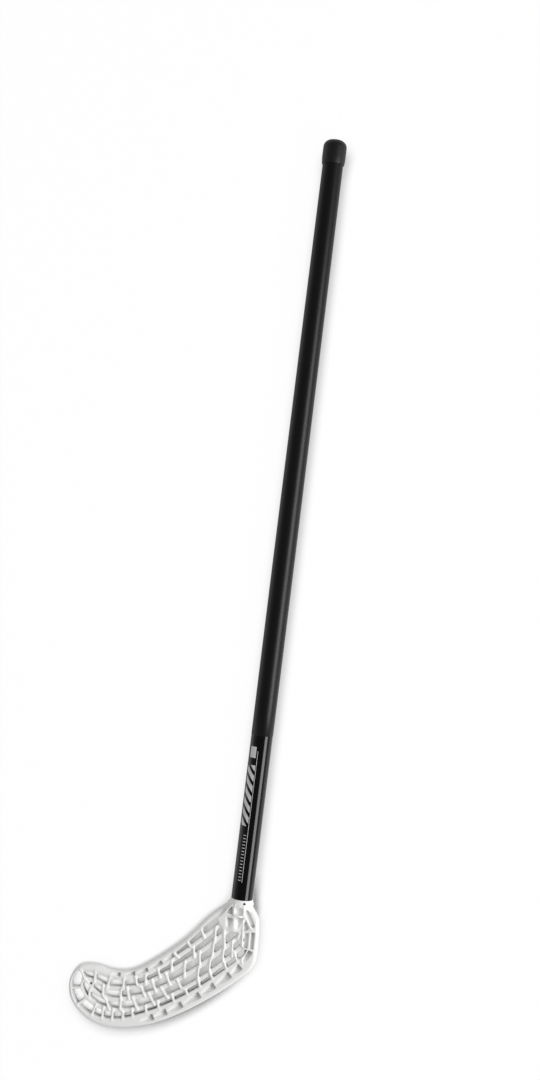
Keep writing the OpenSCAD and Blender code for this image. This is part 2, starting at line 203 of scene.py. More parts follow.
# Scoops in the rim beside the net: where each is deep and where it runs out.
FOOT_SCALLOPS = [
    (2.4, -9), (-9, -26.5), (-26.5, -43), (-43, -63), (-63, -80.5), (-80.5, -95.5),
    (-95.5, -112),
]
TOP_SCALLOPS = [
    (-72, -84), (-86, -101), (-103, -117), (-119, -135), (-138, -152),
]
# The form of each row of scoops: how far beside its line it is deep and runs out, its floor
# where deep, half its width, how much higher the floor is at the sides, how late it climbs.
FOOT_SCOOP = (9.0, 9.4, -1.0, 3.4, 3.2, 1.1)
TOP_SCOOP = (-4.8, -4.8, 1.0, 2.3, 3.0, 1.2)
# How far above the rim's face a scoop runs out.
SCOOP_OVER = 0.4
# How far a scoop's floor climbs, in its lengths, and how wide it is cut, in its widths.
SCOOP_PAST, SCOOP_SIDE = 1.5, 1.2
# The box in which the blade is worked out, and how far its distances reach, in cells from the
# swept bars and in millimetres from the whole.
GRID_LOW, GRID_HIGH = (-206.0, -184.0, -16.0), (31.0, ROOT_DROP + 2.5, 16.0)
SWEEP_REACH, SURFACE_REACH = 4.0, 4.0
# What the blade's mesh is thinned to.
BLADE_TRIANGLES = 190000

# The sleeve: its radius below and above the taper, the heights over the collar's edge where
# the taper starts and ends and where the sleeve ends, its wall, and its lower edge's rounding.
SLEEVE_R, SLEEVE_TOP_R = 13.65, 12.9
TAPER_START, TAPER_END = 430.0, CAP_TOP - 65.0
SLEEVE_END = CAP_TOP - 6
SLEEVE_WALL = 0.29
SLEEVE_EDGE_IN, SLEEVE_EDGE_UP = 0.12, 0.15
# The film: its radius outside and inside.
FILM_R, FILM_INNER_R = 13.47, 13.36
# The print, in millimetres round the film from the line along its top, minus toward the toe,
# and up from the collar's edge: slanted stripes, a fine line, ticks and a block. Then how far
# apart the stripes and the ticks are and how wide, and how much the stripes slant.
STRIPES_ROUND, STRIPES_UP = (-15.5, -4.0), (92.0, 168.0)
LINE_ROUND, LINE_UP = (-3.2, -2.5), (22.0, 186.0)
TICKS_ROUND, TICKS_UP = (-8.5, -4.5), (22.0, 82.0)
BLOCK_ROUND, BLOCK_UP = (-14.0, -5.0), (177.0, 191.0)
STRIPES_PITCH, STRIPES_WIDTH, STRIPES_SLANT = 13.0, 7.5, 1.1
TICKS_PITCH, TICKS_WIDTH = 4.0, 1.0
# How softly the ink ends.
INK_EDGE = 0.12

# The noise of a fine surface lies between these values.
NOISE_LOW, NOISE_HIGH = 0.3, 0.7

# The middle of the photo's frame, right of the collar and above it, and the frame's height,
# all in pixels of the photo.
PHOTO_RIGHT, PHOTO_UP = 28, 358.1
PHOTO_HEIGHT = 1080
# The height of the camera's sensor, in millimetres.
SENSOR = 36.0
# The key lamp's place and what it points at, from the tube's axis, and its size, in metres.
LAMP_PLACE, LAMP_TARGET = (1.15, -0.16, 0.96), (0, -0.16, 0)
LAMP_WIDTH, LAMP_LENGTH = 0.75, 1.6
# The floor: half its width, in metres, and the colour that lights the stick from below.
FLOOR_HALF = 6
FLOOR_COLOR = (0.9, 0.9, 0.9)


def smooth_curve(points, closed=False, steps=6):
    """A Catmull-Rom curve through the points, as an array."""
    p = np.array(points, float)
    n = len(p)
    out = []
    for i in range(n if closed else n - 1):
        a, b, c, d = (
            (p[(i - 1) % n], p[i], p[(i + 1) % n], p[(i + 2) % n]) if closed else
            (p[max(i - 1, 0)], p[i], p[i + 1], p[min(i + 2, n - 1)]))
        for k in range(steps):
            t = k / steps
            out.append(0.5 * (2 * b + (c - a) * t + (2 * a - 5 * b + 4 * c - d) * t * t
                              + (3 * b - a - 3 * c + d) * t ** 3))
    if not closed:
        out.append(p[-1])
    return np.array(out)


def point_at(curve, x):
    """The point of a drawn line at the given x."""
    line = smooth_curve(curve)
    order = np.argsort(line[:, 0])
    return np.array([x, np.interp(x, line[order, 0], line[order, 1])])


def line_distance(gx, gy, points, closed=False):
    """Distance of each grid point to a line, negative inside a closed one."""
    p = np.array(points, float)
    q = np.roll(p, -1, 0) if closed else p[1:]
    p = p if closed else p[:-1]
    best = np.full(gx.shape, 1e9)
    inside = np.zeros(gx.shape, bool)
    for (ax, ay), (bx, by) in zip(p, q):
        ex, ey = bx - ax, by - ay
        t = np.clip(((gx - ax) * ex + (gy - ay) * ey) / (ex * ex + ey * ey + 1e-12), 0, 1)
        best = np.minimum(best, (gx - ax - t * ex) ** 2 + (gy - ay - t * ey) ** 2)
        if closed and ay != by:
            crosses = (ay > gy) != (by > gy)
            inside ^= crosses & (gx < (gy - ay) * ex / ey + ax)
    best = np.sqrt(best)
    return np.where(inside, -best, best) if closed else best


def share_along(gx, gy, start, end, past=0.0):
    """How far along a line each grid point lies, as a share of the line's length."""
    start, end = np.array(start[:2], float), np.array(end[:2], float)
    way = end - start
    share = ((gx - start[0]) * way[0] + (gy - start[1]) * way[1]) / (way @ way)
    return np.clip(share, -past, 1 + past)


def smooth_min(a, b, blend):
    """The smaller of two distances, run together where they are less than blend apart."""
    h = np.clip(0.5 + 0.5 * (b - a) / blend, 0, 1)
    return b * (1 - h) + a * h - blend * h * (1 - h)


def smooth_max(a, b, blend):
    """The larger of two distances, run together in the same way."""
    return -smooth_min(-a, -b, blend)


def rounded_slab(flat, z, low, high, radius):
    """Distance to a slab of the flat shape between two heights, its edges rounded."""
    qx = flat + radius
    qz = np.abs(z - (low + high) / 2) - (high - low) / 2 + radius
    return (np.minimum(np.maximum(qx, qz), 0)
            + np.hypot(np.maximum(qx, 0), np.maximum(qz, 0)) - radius)


def new_object(name, verts, faces, mat, smooth=True):
    """An object of these points and faces in the scene, with its material."""
    mesh = bpy.data.meshes.new(name)
    mesh.from_pydata([tuple(v) for v in verts], [], [tuple(f) for f in faces])
    mesh.validate()
    mesh.update()
    if smooth:
        mesh.shade_smooth()
    obj = bpy.data.objects.new(name, mesh)
    bpy.context.scene.collection.objects.link(obj)
    obj.data.materials.append(mat)
    return obj


def turned(name, profile, mat, around=192):
    """A closed solid of revolution about the tube's axis, from radius and length in mm."""
    verts, faces = [], []
    n = len(profile)
    for k in range(around):
        a = 2 * math.pi * k / around
        for r, y in profile:
            verts.append(((AXIS_X + r * math.sin(a)) * MM, (COLLAR_Y + y) * MM,
                          (AXIS_Z + r * math.cos(a)) * MM))
    for k in range(around):
        m = (k + 1) % around
        for i in range(n):
            j = (i + 1) % n
            faces.append((k * n + i, k * n + j, m * n + j, m * n + i))
    obj = new_object(name, verts, faces, mat)
    clean_normals(obj)
    return obj


def clean_normals(obj):
    """Joins doubled points and turns all faces outward."""
    bm = bmesh.new()
    bm.from_mesh(obj.data)
    bmesh.ops.remove_doubles(bm, verts=bm.verts, dist=1e-7)
    bmesh.ops.recalc_face_normals(bm, faces=bm.faces)
    bm.to_mesh(obj.data)
    bm.free()
    obj.data.update()


def thin_out(obj, triangles):
    """Merges small faces, the flattest first, until the mesh has that many triangles."""
    count = sum(len(p.vertices) - 2 for p in obj.data.polygons)
    mod = obj.modifiers.new("Thin out", "DECIMATE")
    mod.ratio = min(1.0, triangles / count)
    bpy.context.view_layer.update()
    graph = bpy.context.evaluated_depsgraph_get()
    done = bpy.data.meshes.new_from_object(obj.evaluated_get(graph))
    obj.modifiers.clear()
    old, obj.data = obj.data, done
    bpy.data.meshes.remove(old)
    done.shade_smooth()


def sharp_by_angle(obj, degrees):
    """Keeps an edge sharp where its faces meet at more than this angle."""
    obj.data.set_sharp_from_angle(angle=math.radians(degrees))


def material(name, color, roughness, **sockets):
    """A new material and its shader, with more inputs of the shader by name."""
    mat = bpy.data.materials.new(name)
    mat.use_nodes = True
    shader = mat.node_tree.nodes["Principled BSDF"]
    shader.inputs["Base Color"].default_value = (*color, 1)
    shader.inputs["Roughness"].default_value = roughness
    for key, value in sockets.items():
        shader.inputs[key.replace("_", " ")].default_value = value
    return mat, shader


def node(tree, kind, inputs=None, **fields):
    """A new node, its fields set first and then its inputs, by a value or a link."""
    n = tree.nodes.new(kind)
    for key, value in fields.items():
        setattr(n, key, value)
    for key, value in (inputs or {}).items():
        socket = n.inputs[key]
        if isinstance(value, bpy.types.NodeSocket):
            tree.links.new(value, socket)
        else:
            socket.default_value = value
    return n


def math_node(tree, operation, *values, clamp=False):
    """The output of a new math node."""
    n = tree.nodes.new("ShaderNodeMath")
    n.operation = operation
    n.use_clamp = clamp
    for i, v in enumerate(values):
        if isinstance(v, bpy.types.NodeSocket):
            tree.links.new(v, n.inputs[i])
        else:
            n.inputs[i].default_value = v
    return n.outputs[0]


def span(tree, value, start, end, low=0.0, high=1.0):
    """Runs from low to high, and stays there, while the value runs from start to end."""
    return node(tree, "ShaderNodeMapRange", {
        "Value": value, "From Min": start, "From Max": end,
        "To Min": low, "To Max": high}).outputs["Result"]


def object_place(tree):
    """The point's place on the object, split into X, Y and Z."""
    coords = node(tree, "ShaderNodeTexCoord")
    return node(tree, "ShaderNodeSeparateXYZ", {"Vector": coords.outputs["Object"]})


def two_colors(tree, shader, share, first, second):
    """Gives the shader the first colour at share 0 and the second at share 1."""
    mix = node(tree, "ShaderNodeMix", {"Factor": share}, data_type="RGBA")
    mix.inputs["A"].default_value = (*first, 1)
    mix.inputs["B"].default_value = (*second, 1)
    tree.links.new(next(o for o in mix.outputs if o.type == "RGBA"),
                   shader.inputs["Base Color"])


def fine_bump(tree, shader, scale, strength, distance, detail=2.0):
    """Roughens the surface a little with noise, and returns the noise."""
    coords = node(tree, "ShaderNodeTexCoord")
    noise = node(tree, "ShaderNodeTexNoise",
                 {"Vector": coords.outputs["Object"], "Scale": scale, "Detail": detail})
    bump = node(tree, "ShaderNodeBump",
                {"Height": noise.outputs["Fac"], "Strength": strength, "Distance": distance})
    tree.links.new(bump.outputs["Normal"], shader.inputs["Normal"])
    return noise


def vary(tree, shader, socket, noise, low, high):
    """Varies an input of the shader with the noise."""
    value = span(tree, noise.outputs["Fac"], NOISE_LOW, NOISE_HIGH, low, high)
    tree.links.new(value, shader.inputs[socket])


def deepen(tree, shader, color):
    """Darkens a pale colour in narrow places, where light hardly reaches."""
    ao = node(tree, "ShaderNodeAmbientOcclusion", {"Distance": 0.006}, samples=8)
    share = span(tree, ao.outputs["AO"], start=0.3, end=0.85, low=0.72, high=1.0)
    two_colors(tree, shader, share, (0, 0, 0), color)


# Sizes and colours that a user can change
class BladeSettings(bpy.types.PropertyGroup):
    hook_radius: bpy.props.FloatProperty(
        name="Hook radius", description="Radius the blade is bent to, in mm",
        default=1150.0, min=900, max=2000)
    rim_thickness: bpy.props.FloatProperty(
        name="Rim thickness", description="Thickness of the blade's rim, in mm",
        default=12.0, min=10, max=14)
    bar_width: bpy.props.FloatProperty(
        name="Bar width", description="Width of the long bars, in mm", default=5.4)
    bar_height: bpy.props.FloatProperty(
        name="Bar height", description="Depth of the long bars, in mm", default=9.8)
    rib_width: bpy.props.FloatProperty(
        name="Rib width", description="Width of the cross ribs, in mm", default=2.6)
    rib_height: bpy.props.FloatProperty(
        name="Rib height", description="Depth of the cross ribs, in mm", default=11.4)
    cell: bpy.props.FloatProperty(
        name="Mesh cell", description="Cell of the moulded mesh, in mm",
        default=0.7, min=0.5, max=2)
    color: bpy.props.FloatVectorProperty(
        name="Plastic", description="Colour of the moulded plastic", subtype="COLOR",
        default=(0.87, 0.87, 0.855), min=0, max=1)


class CoverSettings(bpy.types.PropertyGroup):
    sleeve_color: bpy.props.FloatVectorProperty(
        name="Sleeve", description="Colour of the satin sleeve", subtype="COLOR",
        default=(0.0045, 0.0045, 0.005), min=0, max=1)
    film_color: bpy.props.FloatVectorProperty(
        name="Film", description="Colour of the printed film's ground", subtype="COLOR",
        default=(0.0015, 0.0015, 0.002), min=0, max=1)
    ink_color: bpy.props.FloatVectorProperty(
        name="Ink", description="Colour of the printed pattern", subtype="COLOR",
        default=(0.62, 0.62, 0.64), min=0, max=1)
    cap_color: bpy.props.FloatVectorProperty(
        name="Cap", description="Colour of the rubber cap", subtype="COLOR",
        default=(0.007, 0.007, 0.0075), min=0, max=1)


class StudioSettings(bpy.types.PropertyGroup):
    camera_height: bpy.props.FloatProperty(
        name="Camera height", description="Height of the camera above the tube's axis",
        default=1.8, unit="LENGTH")
    frame_height: bpy.props.FloatProperty(
        name="Frame height", description="What the frame's height covers at the tube",
        default=1.3468, unit="LENGTH")
    turn: bpy.props.FloatProperty(
        name="Camera turn", description="Turn of the camera about the vertical",
        default=math.radians(7.07), subtype="ANGLE")
    key_radiance: bpy.props.FloatProperty(
        name="Key", description="Brightness of the key lamp", default=5.0)
    sky: bpy.props.FloatProperty(
        name="Sky", description="World strength that lights the stick", default=0.5)
    sky_low: bpy.props.FloatProperty(
        name="Sky low", description="World strength that gloss shows at the horizon",
        default=0.4)
    sky_high: bpy.props.FloatProperty(
        name="Sky high", description="World strength that gloss shows overhead",
        default=0.1)


# The blade
def hook_z(x, radius):
    """How far the hook has risen at x from the tube's axis."""
    return radius - np.sqrt(radius * radius - x * x)


def lie_down(points, settings):
    """From the drawn blade, flat, to the stick as it lies: hooked, then rolled."""
    p = np.array(points, float)
    x, y, z = p[:, 0], p[:, 1], p[:, 2] + hook_z(p[:, 0], settings.hook_radius)
    roll = math.acos(1 - (CAP_R - settings.rim_thickness / 2) / settings.hook_radius)
    c, s = math.cos(roll), math.sin(roll)
    y = COLLAR_Y + y - ROOT_DROP
    # The rolled rim dips a tenth of a millimetre below the floor and is flattened there.
    up = np.maximum(AXIS_Z + x * s + z * c, 0.0)
    return np.stack([AXIS_X + x * c - z * s, y, up], 1) * MM


def bar_tree(mat):
    """Sweeps a rounded bar along each line of the input mesh."""
    tree = bpy.data.node_groups.new("Bars along lines", "GeometryNodeTree")
    face = tree.interface
    face.new_socket("Lines", in_out="INPUT", socket_type="NodeSocketGeometry")
    for label, value in (("Width", 5.0), ("Height", 9.0), ("Rounding", 1.0), ("Step", 1.5)):
        s = face.new_socket(label, in_out="INPUT", socket_type="NodeSocketFloat")
        s.default_value = value
    face.new_socket("Bars", in_out="OUTPUT", socket_type="NodeSocketGeometry")
    given = node(tree, "NodeGroupInput")
    made = node(tree, "NodeGroupOutput")
    curve = node(tree, "GeometryNodeMeshToCurve", {"Mesh": given.outputs["Lines"]})
    resample = node(tree, "GeometryNodeResampleCurve", {
        "Curve": curve.outputs["Curve"], "Length": given.outputs["Step"]}, mode="LENGTH")
    upright = node(tree, "GeometryNodeSetCurveNormal",
                   {"Curve": resample.outputs["Curve"]}, mode="Z_UP")
    profile = node(tree, "GeometryNodeCurvePrimitiveQuadrilateral", {
        "Width": given.outputs["Width"], "Height": given.outputs["Height"]})
    fillet = node(tree, "GeometryNodeFilletCurve", {
        "Curve": profile.outputs["Curve"], "Radius": given.outputs["Rounding"], "Count": 5,
        "Limit Radius": True}, mode="POLY")
    sweep = node(tree, "GeometryNodeCurveToMesh", {
        "Curve": upright.outputs["Curve"], "Profile Curve": fillet.outputs["Curve"],
        "Fill Caps": True})
    real = node(tree, "GeometryNodeRealizeInstances", {"Geometry": sweep.outputs["Mesh"]})
    paint = node(tree, "GeometryNodeSetMaterial", {"Geometry": real.outputs["Geometry"]})
    paint.inputs["Material"].default_value = mat
    tree.links.new(paint.outputs["Geometry"], made.inputs["Bars"])
    return tree


def sweep_lines(tree, lines, width, height, rounding, lift):
    """Runs the bar tree over lines at one height; the swept mesh's points and triangles."""
    verts, edges = [], []
    for line in lines:
        start = len(verts)
        verts += [(x, y, lift) for x, y in line]
        edges += [(start + i, start + i + 1) for i in range(len(line) - 1)]
    mesh = bpy.data.meshes.new("blade lines")
    mesh.from_pydata(verts, edges, [])
    obj = bpy.data.objects.new("blade lines", mesh)
    bpy.context.scene.collection.objects.link(obj)
    mod = obj.modifiers.new("Bars", "NODES")
    mod.node_group = tree
    ids = {i.name: i.identifier for i in tree.interface.items_tree if i.in_out == "INPUT"}
    for label, value in (("Width", width), ("Height", height), ("Rounding", rounding)):
        mod[ids[label]] = float(value)
    bpy.context.view_layer.update()
    done = bpy.data.meshes.new_from_object(obj.evaluated_get(
        bpy.context.evaluated_depsgraph_get()))
    obj.modifiers.clear()
    bpy.data.objects.remove(obj)
    points = np.zeros(len(done.vertices) * 3, np.float32)
    done.vertices.foreach_get("co", points)
    done.calc_loop_triangles()
    tris = np.zeros(len(done.loop_triangles) * 3, np.int32)
    done.loop_triangles.foreach_get("vertices", tris)
    bpy.data.meshes.remove(done)
    return points.reshape(-1, 3), tris.reshape(-1, 3)


def swept_distance(tree, lines, size, low, cell, counts):
    """Distance of each point of the grid to the bars swept along the lines."""
    points, tris = sweep_lines(tree, lines, *size)
    grid = openvdb.FloatGrid.createLevelSetFromPolygons(
        np.ascontiguousarray((points - low) / cell, dtype=np.float32),
        triangles=np.ascontiguousarray(tris, dtype=np.uint32), halfWidth=SWEEP_REACH)
    distance = np.full(counts, SWEEP_REACH, np.float32)
    grid.copyToArray(distance)
    return distance * cell


def net_lines():
    """The long bars and the cross ribs, which run on over the bars they meet."""
    bars = [smooth_curve(b) for b in (BAR_1, BAR_2, BAR_3, BAR_4)]
    runs = []
    for upper, lower, stations in RIBS:
        above = list(runs)
        for x_up, x_low in stations:
            a, b = point_at(upper, x_up), point_at(lower, x_low)
            met = [r for r in above if np.linalg.norm(r[-1] - a) < RIB_REACH]
            inner = [a + (b - a) * share for share in RIB_STRAIGHT]
            if met:
                run = min(met, key=lambda r: np.linalg.norm(r[-1] - a))
                run[-1:] = inner + [b]
            else:
                runs.append([a, *inner, b])
    for run in runs:
        first, last = run[0] - run[1], run[-1] - run[-2]
        run[0] = run[0] + first / np.linalg.norm(first) * RIB_OVERRUN
        run[-1] = run[-1] + last / np.linalg.norm(last) * RIB_OVERRUN
    return bars, [smooth_curve(r) for r in runs + [np.array(w, float) for w in TOE_WALLS]]


def beside(line, x, distance):
    """The point beside a drawn line at x, toward the edge where the distance is above 0."""
    ahead, behind = point_at(line, x + 1), point_at(line, x - 1)
    way = (behind - ahead) / np.linalg.norm(behind - ahead)
    return point_at(line, x) + distance * np.array([-way[1], way[0]])


def neck_distance(gx, gy, Y, Z):
    """Distance to the collar and to the core that tapers from it down into the plate."""
    X = gx[..., None]
    (x, y), (foot_x, foot_y) = CORE_TOP, CORE_FOOT
    t = share_along(gx, gy, CORE_TOP, CORE_FOOT)[..., None]
    off = np.sqrt((X - x - t * (foot_x - x)) ** 2 + (Y - y - t * (foot_y - y)) ** 2 + Z ** 2)
    core = off - (CORE_TOP_R + (CORE_FOOT_R - CORE_TOP_R) * t)
    core = np.maximum(core, Y - ROOT_DROP)
    radial = np.sqrt(X ** 2 + Z ** 2)
    length = np.abs(Y - ROOT_DROP + COLLAR_HALF) - COLLAR_HALF
    collar = smooth_max(radial - COLLAR_R, length, blend=0.8)
    return smooth_min(core, collar, blend=0.5)


def web_distance(gx, gy, Z):
    """Distance to the flat web toward the toe, which slopes down to the rim."""
    flat = line_distance(gx, gy, NECK_WEB, True)[..., None]
    share = share_along(gx, gy, WEB_TOP, WEB_FOOT, WEB_PAST)
    top = (WEB_TOP[2] + (WEB_FOOT[2] - WEB_TOP[2]) * share)[..., None]
    return smooth_max(np.maximum(flat, -Z), (Z - top) * WEB_LEAN, blend=1.2)


def sink(solid, gx, gy, Z, corners, start, z_start, end, z_end):
    """Cuts a pocket with a sloping floor into the face."""
    flat = line_distance(gx, gy, corners, True)[..., None]
    share = share_along(gx, gy, start, end)
    floor = (z_start + (z_end - z_start) * share)[..., None]
    pocket = smooth_max(flat, floor - Z, blend=0.7)
    return smooth_max(solid, -pocket, blend=0.7)


def scoop(solid, gx, gy, Z, start, z_start, end, z_end, half_width, rise, power):
    """Cuts a hollow with a steep start wall and a round floor that climbs to its end."""
    start, end = np.array(start, float), np.array(end, float)
    length = np.linalg.norm(end - start)
    way = (end - start) / length
    along = (gx - start[0]) * way[0] + (gy - start[1]) * way[1]
    across = (gx - start[0]) * way[1] - (gy - start[1]) * way[0]
    climb = np.clip(along / length, 0, SCOOP_PAST) ** power
    floor = z_start + (z_end - z_start) * climb + rise * (across / half_width) ** 2
    hollow = smooth_max(floor[..., None] - Z, -along[..., None], blend=0.6)
    side = (np.abs(across) - half_width * SCOOP_SIDE)[..., None]
    hollow = smooth_max(hollow, side, blend=0.6)
    return smooth_max(solid, -hollow, blend=0.8)


def blade_surface(settings, mat):
    """Points and faces of the moulded blade, from distances on a grid, in drawn mm."""
    cell = settings.cell
    low, high = np.array(GRID_LOW), np.array(GRID_HIGH)
    counts = np.ceil((high - low) / cell).astype(int) + 1
    x, y, z = (low[i] + cell * np.arange(counts[i]) for i in range(3))
    gx, gy = np.meshgrid(x, y, indexing="ij")
    X, Y, Z = gx[..., None], gy[..., None], z[None, None, :]
    half = settings.rim_thickness / 2

    edge = line_distance(gx, gy, smooth_curve(EDGE, True), True)[..., None]
    inner = line_distance(gx, gy, smooth_curve(RIM_INNER, True), True)[..., None]
    blade = rounded_slab(edge, Z, -half, half, RIM_ROUNDING)
    blade = smooth_max(blade, -inner, blend=0.8)

    # Long bars, then the cross ribs that lie a little higher.
    bars, ribs = net_lines()
    tree = bar_tree(mat)
    for lines, size in (
            (bars, (settings.bar_width, settings.bar_height, BAR_ROUNDING, 0.0)),
            (ribs, (settings.rib_width, settings.rib_height, RIB_ROUNDING, RIB_LIFT))):
        swept = swept_distance(tree, lines, size, low, cell, counts)
        swept = np.maximum(swept, edge + NET_MARGIN)
        blade = smooth_min(blade, swept, blend=2.0)

    blade = smooth_min(blade, neck_distance(gx, gy, Y, Z), blend=2.5)
    blade = smooth_min(blade, web_distance(gx, gy, Z), blend=1.6)
    whole = blade

    for pocket in NECK_POCKETS:
        blade = sink(blade, gx, gy, Z, *pocket)
    for hollow in NECK_HOLLOWS:
        blade = scoop(blade, gx, gy, Z, *hollow)
    for line, scallops, (deep_off, end_off, floor, *form) in (
            (ROW_FOOT, FOOT_SCALLOPS, FOOT_SCOOP), (BAR_1, TOP_SCALLOPS, TOP_SCOOP)):
        for deep_x, end_x in scallops:
            deep, end = beside(line, deep_x, deep_off), beside(line, end_x, end_off)
            blade = scoop(blade, gx, gy, Z, deep, floor, end, half + SCOOP_OVER, *form)

    # Fine ridges follow the neck's face as it was before the cuts, a little above it.
    for line in NECK_RIDGES:
        flat = line_distance(gx, gy, smooth_curve(line))[..., None]
        ridge = smooth_max(flat - RIDGE_HALF, np.maximum(whole - RIDGE_UP, -Z), blend=0.5)
        blade = smooth_min(blade, ridge, blend=0.7)
    blade = np.maximum(blade, Y - ROOT_DROP)

    # The hole over the lock screw, turned from the face toward the heel.
    turn = math.radians(SCREW_TURN)
    out = X * math.sin(turn) + Z * math.cos(turn)
    side = np.hypot(X * math.cos(turn) - Z * math.sin(turn), Y - ROOT_DROP + SCREW_DROP)
    hole = np.maximum(side - HOLE_R, HOLE_FLOOR - out)
    blade = smooth_max(blade, -hole, blend=0.2)

    grid = openvdb.FloatGrid(SURFACE_REACH)
    grid.copyFromArray(np.clip(blade, -SURFACE_REACH, SURFACE_REACH).astype(np.float32))
    points, tris, quads = grid.convertToPolygons(0.0, 0.0)
    faces = [tuple(f) for f in tris] + [tuple(f) for f in quads]
    return points * cell + low, faces


class STICK_OT_blade(bpy.types.Operator):
    """Builds the moulded blade with its net, neck and collar"""
    bl_idname = "stick.blade"
    bl_label = "Blade"

    def execute(self, context):
        settings = context.scene.stick_blade
        mat, shader = material("white moulded plastic", settings.color, roughness=0.34,
                               IOR=1.5, Subsurface_Weight=0.04, Subsurface_Scale=0.002)
        shader.inputs["Subsurface Radius"].default_value = (1.0, 1.0, 0.9)
        tree = mat.node_tree
        noise = fine_bump(tree, shader, scale=900, strength=0.06, distance=0.0002)
        vary(tree, shader, "Roughness", noise, low=0.3, high=0.4)
        deepen(tree, shader, settings.color)
        points, faces = blade_surface(settings, mat)
        obj = new_object("blade_moulding", lie_down(points, settings), faces, mat)
        thin_out(obj, BLADE_TRIANGLES)
        clean_normals(obj)
        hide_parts("blade")
        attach(obj, "stick")
        return {"FINISHED"}


# The coverings, the end cap and the lock screw
def print_pattern(tree, shader, settings):
    """A plain pattern of stripes, a fine line, ticks and a block, printed up the film."""
    place = object_place(tree)
    dx = math_node(tree, "SUBTRACT", place.outputs["X"], AXIS_X * MM)
    dz = math_node(tree, "SUBTRACT", place.outputs["Z"], AXIS_Z * MM)
    angle = math_node(tree, "ARCTAN2", dx, dz)
    arc = math_node(tree, "MULTIPLY", angle, FILM_R)
    up = math_node(tree, "SUBTRACT", math_node(tree, "MULTIPLY", place.outputs["Y"], 1 / MM), COLLAR_Y)

    def between(value, low, high):
        a = math_node(tree, "DIVIDE", math_node(tree, "SUBTRACT", value, low), INK_EDGE, clamp=True)
        b = math_node(tree, "DIVIDE", math_node(tree, "SUBTRACT", high, value), INK_EDGE, clamp=True)
        return math_node(tree, "MULTIPLY", a, b)

    def repeated(value, pitch, width):
        # A whole number of pitches is added first, so that the remainder is never negative.
        part = math_node(tree, "MODULO", math_node(tree, "ADD", value, 1000 * pitch), pitch)
        return between(part, 0.0, width)

    slanted = math_node(tree, "ADD", up, math_node(tree, "MULTIPLY", arc, STRIPES_SLANT))
    wide = math_node(tree, "MULTIPLY", repeated(slanted, STRIPES_PITCH, STRIPES_WIDTH),
                     between(arc, *STRIPES_ROUND))
    wide = math_node(tree, "MULTIPLY", wide, between(up, *STRIPES_UP))
    line = math_node(tree, "MULTIPLY", between(arc, *LINE_ROUND), between(up, *LINE_UP))
    ticks = math_node(tree, "MULTIPLY", repeated(up, TICKS_PITCH, TICKS_WIDTH),
                      between(arc, *TICKS_ROUND))
    ticks = math_node(tree, "MULTIPLY", ticks, between(up, *TICKS_UP))
    block = math_node(tree, "MULTIPLY", between(arc, *BLOCK_ROUND), between(up, *BLOCK_UP))
    ink = math_node(tree, "MAXIMUM", math_node(tree, "MAXIMUM", wide, line),
                    math_node(tree, "MAXIMUM", ticks, block))
    two_colors(tree, shader, ink, settings.film_color, settings.ink_color)


def sleeve_profile():
    """Radius and length along the sleeve, up its outside and down its inside."""
    inner, top_inner = SLEEVE_R - SLEEVE_WALL, SLEEVE_TOP_R - SLEEVE_WALL
    first_ring, rings, taper_rings = FILM_END + 40, 8, 10
    profile = [(inner, FILM_END), (SLEEVE_R - SLEEVE_EDGE_IN, FILM_END),
               (SLEEVE_R, FILM_END + SLEEVE_EDGE_UP)]
    profile += [(SLEEVE_R, y) for y in np.linspace(first_ring, TAPER_START, rings)]
    profile += [(SLEEVE_R + (SLEEVE_TOP_R - SLEEVE_R) * t,
                 TAPER_START + (TAPER_END - TAPER_START) * t)
                for t in np.linspace(0.1, 1, taper_rings)]
    return profile + [(SLEEVE_TOP_R, SLEEVE_END), (top_inner, SLEEVE_END),
                      (top_inner, TAPER_END), (inner, TAPER_START)]


def film_profile():
    """Radius and length along the film, up its outside, and its inside as the last edge."""
    from_ends, rings = 20, 8
    profile = [(FILM_INNER_R, 0.0), (FILM_R, 0.0)]
    profile += [(FILM_R, y) for y in np.linspace(from_ends, FILM_END - from_ends, rings)]
    return profile + [(FILM_R, FILM_END), (FILM_INNER_R, FILM_END)]


class STICK_OT_coverings(bpy.types.Operator):
    """Builds the satin sleeve and the printed film on the tube"""
    bl_idname = "stick.coverings"
    bl_label = "Coverings"

    def execute(self, context):
        settings = context.scene.stick_cover
        mat, shader = material("satin sleeve", settings.sleeve_color, roughness=0.36,
                               IOR=1.5, Specular_IOR_Level=0.36)
        noise = fine_bump(mat.node_tree, shader, scale=1400, strength=0.10, distance=0.0002)
        vary(mat.node_tree, shader, "Roughness", noise, low=0.32, high=0.40)
        sleeve = turned("grip_sleeve_satin", sleeve_profile(), mat)
        sharp_by_angle(sleeve, degrees=40)
        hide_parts("grip_sleeve")
        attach(sleeve, "stick")

        mat, shader = material("glossy printed film", settings.film_color, roughness=0.12,
                               IOR=1.5, Specular_IOR_Level=0.5)
        print_pattern(mat.node_tree, shader, settings)
        fine_bump(mat.node_tree, shader, scale=500, strength=0.015, distance=0.0002)
        film = turned("printed_film_gloss", film_profile(), mat)
        sharp_by_angle(film, degrees=40)
        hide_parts("printed_film")
        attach(film, "stick")

        mat, shader = material("fibre tube", (0.02, 0.02, 0.021), roughness=0.4)
        fine_bump(mat.node_tree, shader, scale=700, strength=0.05, distance=0.0002)
        paint_node("shaft_tube", mat)
        return {"FINISHED"}


def paint_node(name, mat):
    """Gives a CAD piece that shows a material."""
    obj = frame["nodes"][name]
    obj.data.materials.clear()
    obj.data.materials.append(mat)


